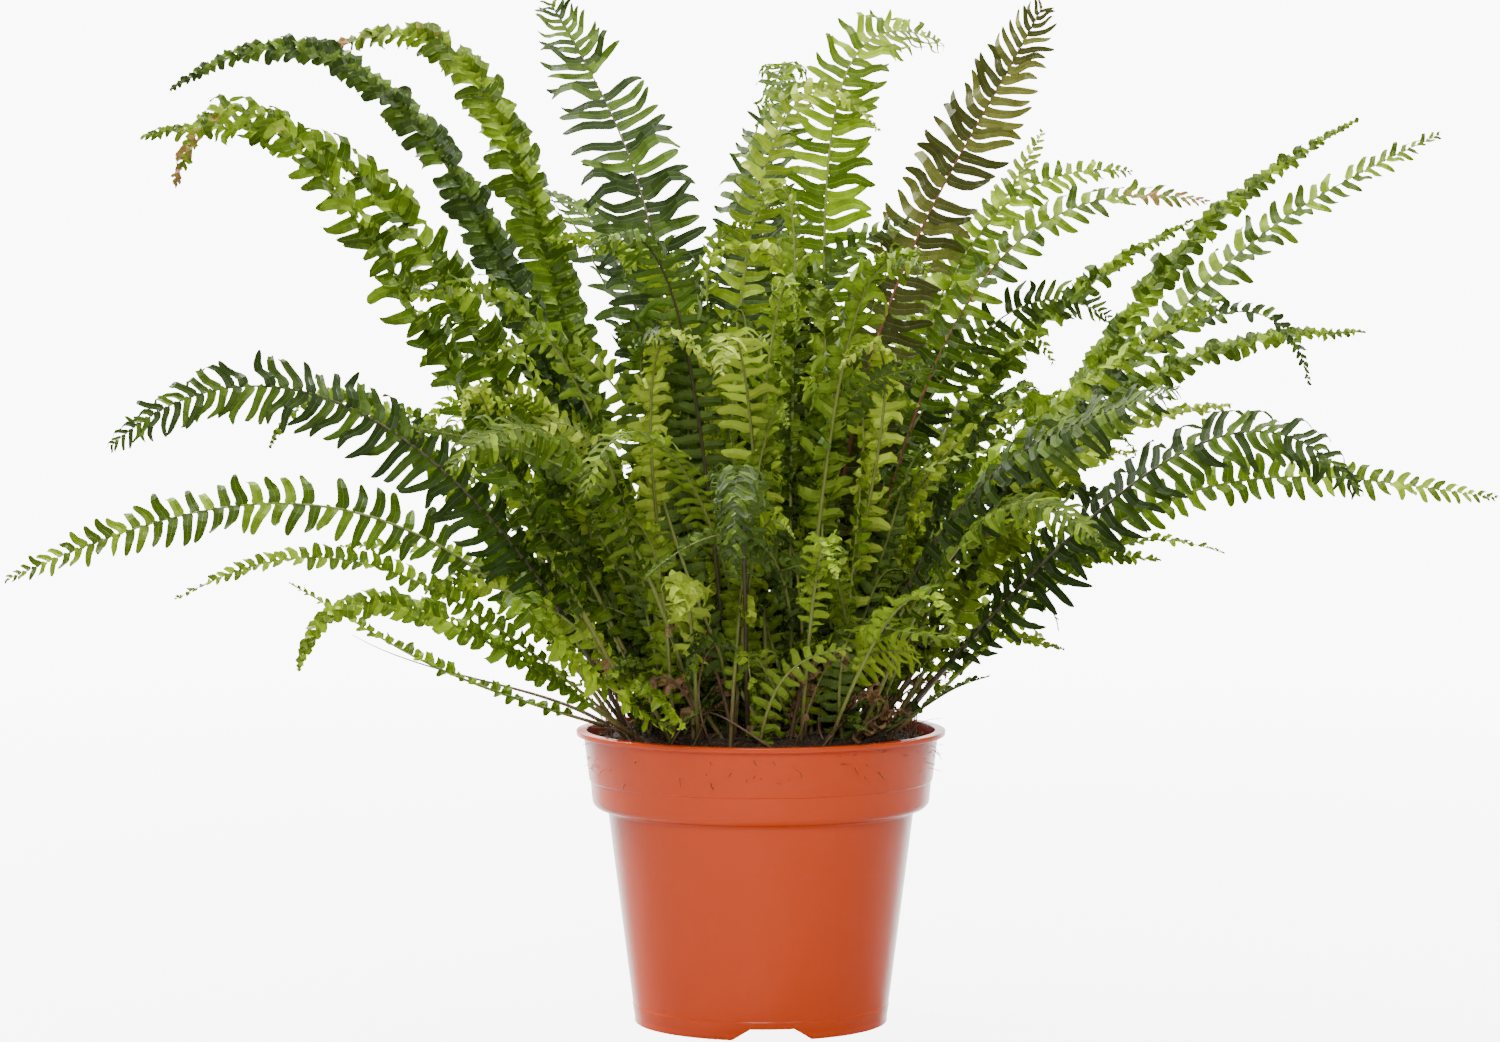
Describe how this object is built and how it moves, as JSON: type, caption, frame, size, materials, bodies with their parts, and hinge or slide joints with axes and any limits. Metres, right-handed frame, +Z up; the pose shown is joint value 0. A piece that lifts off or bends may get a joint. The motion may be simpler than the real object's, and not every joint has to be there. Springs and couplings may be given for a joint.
{
  "type": "potted fern",
  "caption": "Bushy sword fern with long arching leaflet-lined fronds growing in a round, tapered terracotta-coloured plastic nursery pot.",
  "frame": {"origin": "on the pot's axis, in the plane that its foot stands on, which is the middle of the bottom of the plant's bounding box", "axes": "+Z up, -Y the side that faces the viewer, +X to the viewer's right"},
  "size_m": [0.6843, 0.5245, 0.4742],
  "materials": {
    "terracotta_plastic": "smooth moulded plastic, semi-gloss, finely scuffed",
    "peat": "crumbly dark brown peat with fibres, matte",
    "deep_green": "leaf, waxy, soft sheen",
    "mid_green": "leaf, waxy, soft sheen",
    "fresh_green": "young leaf, soft sheen",
    "pale_green": "youngest leaf, thin and slightly translucent",
    "bronze_green": "ageing leaf, bronze-green, matte",
    "dry_stem": "dry wiry stem, matte"
  },
  "bodies": {
    "root": {"nursery_pot": "terracotta_plastic", "potting_soil": "peat", "frond_left_top_1": "deep_green", "frond_left_top_2": "deep_green", "frond_left_top_3": "mid_green", "frond_left_top_4": "mid_green", "frond_left_mid_1": "deep_green", "frond_left_mid_2": "mid_green", "frond_left_mid_3": "mid_green", "frond_left_low_1": "mid_green", "frond_left_low_2": "fresh_green", "frond_left_low_3": "fresh_green", "frond_left_low_4": "fresh_green", "frond_left_low_5": "fresh_green", "frond_crown_1": "deep_green", "frond_crown_2": "mid_green", "frond_crown_3": "deep_green", "frond_crown_4": "pale_green", "frond_crown_5": "fresh_green", "frond_crown_6": "bronze_green", "frond_crown_7": "pale_green", "frond_crown_8": "fresh_green", "frond_crown_9": "bronze_green", "frond_right_top_1": "mid_green", "frond_right_top_2": "mid_green", "frond_right_top_3": "mid_green", "frond_right_mid_1": "deep_green", "frond_right_mid_2": "mid_green", "frond_right_mid_3": "fresh_green", "frond_right_mid_4": "pale_green", "frond_right_low_1": "deep_green", "frond_right_low_2": "fresh_green", "frond_right_low_3": "fresh_green", "frond_right_low_4": "fresh_green", "frond_right_low_5": "pale_green", "frond_right_low_6": "deep_green", "frond_front_1": "deep_green", "frond_front_2": "fresh_green", "frond_front_3": "pale_green", "frond_front_4": "deep_green", "frond_front_5": "pale_green", "frond_front_6": "fresh_green", "frond_front_7": "fresh_green", "frond_front_8": "mid_green", "frond_front_9": "mid_green", "frond_front_10": "deep_green", "frond_front_11": "mid_green", "frond_front_12": "mid_green", "frond_back_1": "mid_green", "frond_back_2": "deep_green", "frond_back_3": "mid_green", "frond_back_4": "mid_green", "frond_back_5": "deep_green", "frond_back_6": "mid_green", "frond_back_7": "deep_green", "frond_back_8": "fresh_green", "frond_back_9": "mid_green", "runner": "dry_stem"}
  },
  "joints": []
}
